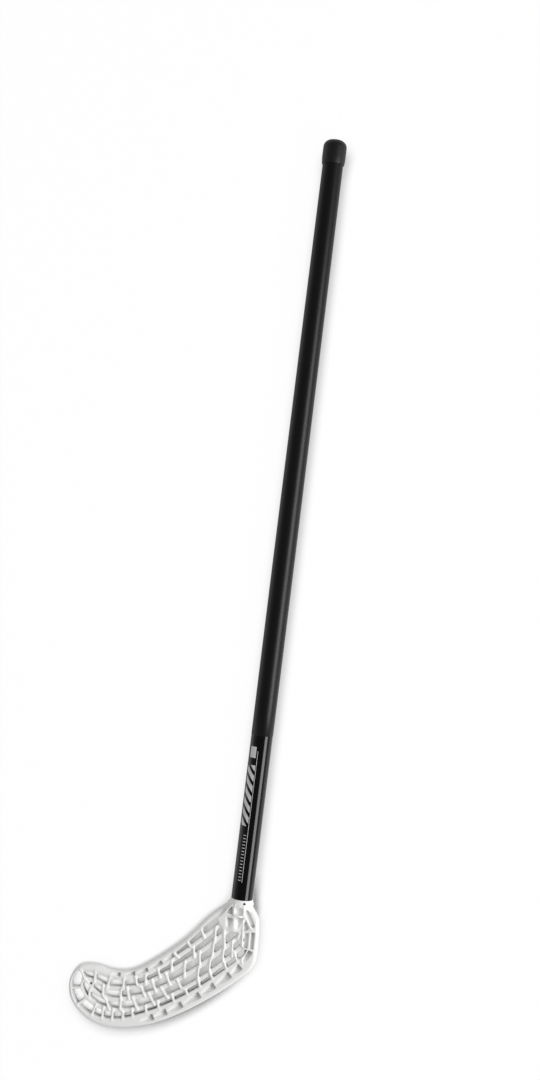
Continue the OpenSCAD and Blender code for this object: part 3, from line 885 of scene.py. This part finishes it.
def cap_profile():
    """Radius and length along the cap: mouth, lip, barrel, shoulder, crown and spigot."""
    bore, lip, lip_high = 12.95, 13.9, 1.2
    mouth, mouth_deep, lip_round = 0.2, 0.9, 0.3
    barrel, shoulder, crown = 12, 9.0, 1.2
    shoulder_turn = math.pi / 2 * 0.92
    spigot_in, spigot_tip, spigot_out = 8.0, 10.1, 10.95
    # Down from the cap's top: the end wall's inside, the spigot's end, and its chamfer's top.
    wall, spigot_low, tip_high = 5, 31, 29
    swell_rings, shoulder_rings = 10, 14

    profile = [(bore, CAP_LOW), (bore + mouth, CAP_LOW), (bore + mouth, CAP_LOW + mouth_deep),
               (lip - lip_round, CAP_LOW + mouth_deep), (lip, CAP_LOW + lip_high)]
    # Above a fine step the lip swells into the barrel.
    top, step = CAP_TOP - crown - shoulder, 0.02
    profile += [(lip + step + (CAP_R - lip - step) * math.sin(t * math.pi / 2),
                 CAP_LOW + lip_high + (top - barrel - CAP_LOW - lip_high) * t)
                for t in np.linspace(0.1, 1, swell_rings)]
    profile += [(CAP_R, top - barrel / 2)]
    profile += [(CAP_R - shoulder * (1 - math.cos(a)), top + shoulder * math.sin(a))
                for a in np.linspace(0, shoulder_turn, shoulder_rings)]
    edge_r, edge_y = profile[-1]
    profile += [(edge_r * (1 - t), edge_y + (CAP_TOP - edge_y) * (1 - (1 - t) ** 2))
                for t in (0.25, 0.5, 0.75, 0.9, 1.0)]
    # Inside: under the end wall, down the spigot's hollow, and up its outside.
    return profile + [
        (0.0, CAP_TOP - wall), (spigot_in, CAP_TOP - wall), (spigot_in, CAP_TOP - spigot_low),
        (spigot_tip, CAP_TOP - spigot_low), (spigot_out, CAP_TOP - tip_high),
        (spigot_out, CAP_TOP - wall), (bore, CAP_TOP - wall)]


class STICK_OT_end_cap(bpy.types.Operator):
    """Builds the rubber end cap with its lip and rounded shoulder"""
    bl_idname = "stick.end_cap"
    bl_label = "End cap"

    def execute(self, context):
        color = context.scene.stick_cover.cap_color
        mat, shader = material("black rubber", color, roughness=0.45, IOR=1.5)
        tree = mat.node_tree
        noise = fine_bump(tree, shader, scale=1200, strength=0.12, distance=0.0003)
        vary(tree, shader, "Roughness", noise, low=0.4, high=0.52)
        # The mouth, under the lip, is painted near black as painted shadow.
        mouth, dark_until, lit_from = (COLLAR_Y + CAP_LOW) * MM, 0.0009, 0.0014
        mouth_painted_shadow = (0.0005, 0.0005, 0.0005)
        length = object_place(tree).outputs["Y"]
        lit = span(tree, length, mouth + dark_until, mouth + lit_from)
        two_colors(tree, shader, lit, mouth_painted_shadow, color)
        cap = turned("end_cap_rubber", cap_profile(), mat)
        sharp_by_angle(cap, degrees=50)
        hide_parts("end_cap")
        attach(cap, "cap")
        return {"FINISHED"}


class STICK_OT_lock_screw(bpy.types.Operator):
    """Finishes the lock screw in the collar"""
    bl_idname = "stick.lock_screw"
    bl_label = "Lock screw"

    def execute(self, context):
        mat, shader = material("black oxide steel", (0.02, 0.02, 0.022), roughness=0.35,
                               Metallic=0.6)
        fine_bump(mat.node_tree, shader, scale=2000, strength=0.05, distance=0.0001)
        paint_node("lock_screw", mat)
        return {"FINISHED"}


# The stage
def aim(obj, target):
    """Turns a lamp so that it points at the target."""
    way = Vector(target) - obj.location
    obj.rotation_euler = way.to_track_quat("-Z", "Y").to_euler()


def lamp(name, location, target, width, length, radiance):
    """A rectangular lamp of the given brightness, its long side along Y."""
    data = bpy.data.lights.new(name, "AREA")
    data.shape = "RECTANGLE"
    data.size = length
    data.size_y = width
    data.energy = radiance * math.pi * width * length
    obj = bpy.data.objects.new(name, data)
    bpy.context.scene.collection.objects.link(obj)
    obj.location = location
    aim(obj, target)


def openness(tree, distance, lean=None):
    """How open it is over the floor, within a distance, straight up or leaned one way."""
    ao = node(tree, "ShaderNodeAmbientOcclusion", {"Distance": distance}, samples=8)
    if lean:
        way = node(tree, "ShaderNodeCombineXYZ", dict(zip("XYZ", lean)))
        tree.links.new(way.outputs["Vector"], ao.inputs["Normal"])
    return ao.outputs["AO"]


def floor_material():
    """A floor that the camera sees white, with painted shade where the stick is close above it."""
    mat, shader = material("pale floor", FLOOR_COLOR, roughness=0.9, Specular_IOR_Level=0.0)
    tree = mat.node_tree
    camera_ray = node(tree, "ShaderNodeLightPath").outputs["Is Camera Ray"]
    place = object_place(tree)

    def graded(axis, start, end, low, high):
        """Runs from low to high between two places on the floor."""
        return span(tree, place.outputs[axis], start, end, low, high)

    toe, heel, collar = AXIS_X * MM - 0.16, AXIS_X * MM - 0.02, COLLAR_Y * MM
    # A close line of painted shade, narrower toward the toe and along the tube.
    reach = math_node(tree, "MULTIPLY", graded("X", toe, heel, low=0.005, high=0.009),
                      graded("Y", collar - 0.02, collar + 0.01, low=1.0, high=0.4))
    line = span(tree, openness(tree, reach), start=0.45, end=0.88, low=0.5)
    # A wide soft painted shade that fades toward the toe.
    darkest = graded("X", toe, heel, low=1.0, high=0.32)
    around = openness(tree, distance=0.024)
    wide = span(tree, around, start=0.1, end=0.6, low=darkest)
    # A painted shadow that falls down and to the right of the stick, fainter along the tube.
    darkest = math_node(tree, "MAXIMUM", graded("X", toe + 0.06, heel, low=0.3, high=0.05),
                        graded("Y", collar - 0.01, collar + 0.03, low=0.0, high=0.5))
    leaned = openness(tree, distance=0.018, lean=(-0.58, 0.58, 0.57))
    fall = span(tree, leaned, start=0.5, end=0.93, low=darkest)
    # That shadow starts only outside the stick's own footprint.
    footprint, fringe = 0.38, 0.12
    beyond = math_node(tree, "DIVIDE", math_node(tree, "SUBTRACT", around, footprint),
                       fringe, clamp=True)
    fall = node(tree, "ShaderNodeMix", {"Factor": beyond, "A": 1.0, "B": fall},
                data_type="FLOAT").outputs["Result"]
    clear = math_node(tree, "MULTIPLY", math_node(tree, "MULTIPLY", line, wide), fall)

    # Only the camera's own rays see the shade; light on the stick comes from a pale floor.
    brightest = 0.98
    glow = math_node(tree, "MULTIPLY", clear, brightest)
    glow = math_node(tree, "MULTIPLY", camera_ray, glow)
    level = node(tree, "ShaderNodeMix", {"Factor": camera_ray, "A": 1.0, "B": clear},
                 data_type="FLOAT")
    two_colors(tree, shader, level.outputs["Result"], (0, 0, 0), FLOOR_COLOR)
    white = node(tree, "ShaderNodeEmission", {"Color": (1, 1, 1, 1), "Strength": 1.0})
    mixed = node(tree, "ShaderNodeMixShader", {"Fac": glow})
    tree.links.new(shader.outputs["BSDF"], mixed.inputs[1])
    tree.links.new(white.outputs["Emission"], mixed.inputs[2])
    tree.links.new(mixed.outputs["Shader"], tree.nodes["Material Output"].inputs["Surface"])
    return mat


def soft_sky(settings):
    """A white sky for the camera, an even one for the stick, a graded one for its gloss."""
    world = bpy.data.worlds.new("soft sky")
    world.use_nodes = True
    tree = world.node_tree
    back = tree.nodes["Background"]
    coords = node(tree, "ShaderNodeTexCoord")
    place = node(tree, "ShaderNodeSeparateXYZ", {"Vector": coords.outputs["Generated"]})
    ramp = span(tree, place.outputs["Z"], start=0.0, end=0.75,
                low=settings.sky_low, high=settings.sky_high)
    path = node(tree, "ShaderNodeLightPath")
    gloss = node(tree, "ShaderNodeMix", {
        "Factor": path.outputs["Is Glossy Ray"], "A": settings.sky, "B": ramp},
        data_type="FLOAT")
    level = node(tree, "ShaderNodeMix", {
        "Factor": path.outputs["Is Camera Ray"], "A": gloss.outputs["Result"], "B": 1.0},
        data_type="FLOAT")
    back.inputs["Color"].default_value = (1, 1, 1, 1)
    tree.links.new(level.outputs["Result"], back.inputs["Strength"])
    return world


def camera_above(settings):
    """A camera that looks straight down, placed and turned as in the photo."""
    c, s = math.cos(settings.turn), math.sin(settings.turn)
    right = PHOTO_RIGHT * settings.frame_height / PHOTO_HEIGHT
    up = PHOTO_UP * settings.frame_height / PHOTO_HEIGHT
    data = bpy.data.cameras.new("camera")
    data.sensor_fit = "VERTICAL"
    data.sensor_height = SENSOR
    data.lens = SENSOR * settings.camera_height / settings.frame_height
    cam = bpy.data.objects.new("camera", data)
    bpy.context.scene.collection.objects.link(cam)
    cam.location = (AXIS_X * MM + (right * c - up * s), COLLAR_Y * MM + (right * s + up * c),
                    AXIS_Z * MM + settings.camera_height)
    cam.rotation_euler = (0, 0, settings.turn)
    return cam


class STICK_OT_stage(bpy.types.Operator):
    """Sets up the floor, the light and the camera"""
    bl_idname = "stick.stage"
    bl_label = "Stage"

    def execute(self, context):
        settings = context.scene.stick_studio
        scene = context.scene
        scene.view_settings.view_transform = "Standard"

        r = FLOOR_HALF
        floor = new_object("floor", [(-r, -r, 0), (r, -r, 0), (r, r, 0), (-r, r, 0)],
                           [(0, 1, 2, 3)], floor_material(), smooth=False)
        scene.world = soft_sky(settings)
        axis = Vector((AXIS_X * MM, 0, AXIS_Z * MM))
        lamp("key lamp", axis + Vector(LAMP_PLACE), axis + Vector(LAMP_TARGET),
             LAMP_WIDTH, LAMP_LENGTH, settings.key_radiance)
        scene.camera = camera_above(settings)
        return {"FINISHED"}


class STICK_PT_panel(bpy.types.Panel):
    bl_label = "Floorball stick"
    bl_idname = "STICK_PT_panel"
    bl_space_type = "VIEW_3D"
    bl_region_type = "UI"
    bl_category = "Stick"

    def draw(self, context):
        layout = self.layout
        for operator in OPERATORS:
            layout.operator(operator.bl_idname)


OPERATORS = (STICK_OT_blade, STICK_OT_coverings, STICK_OT_end_cap, STICK_OT_lock_screw,
             STICK_OT_stage)
GROUPS = {"stick_blade": BladeSettings, "stick_cover": CoverSettings,
          "stick_studio": StudioSettings}
CLASSES = (*GROUPS.values(), *OPERATORS, STICK_PT_panel)


def register():
    for cls in CLASSES:
        bpy.utils.register_class(cls)
    for name, group in GROUPS.items():
        setattr(bpy.types.Scene, name, bpy.props.PointerProperty(type=group))


def unregister():
    for name in GROUPS:
        delattr(bpy.types.Scene, name)
    for cls in reversed(CLASSES):
        bpy.utils.unregister_class(cls)


def main():
    register()
    bpy.ops.stick.blade()
    bpy.ops.stick.coverings()
    bpy.ops.stick.end_cap()
    bpy.ops.stick.lock_screw()
    bpy.ops.stick.stage()


if __name__ == "__main__":
    main()
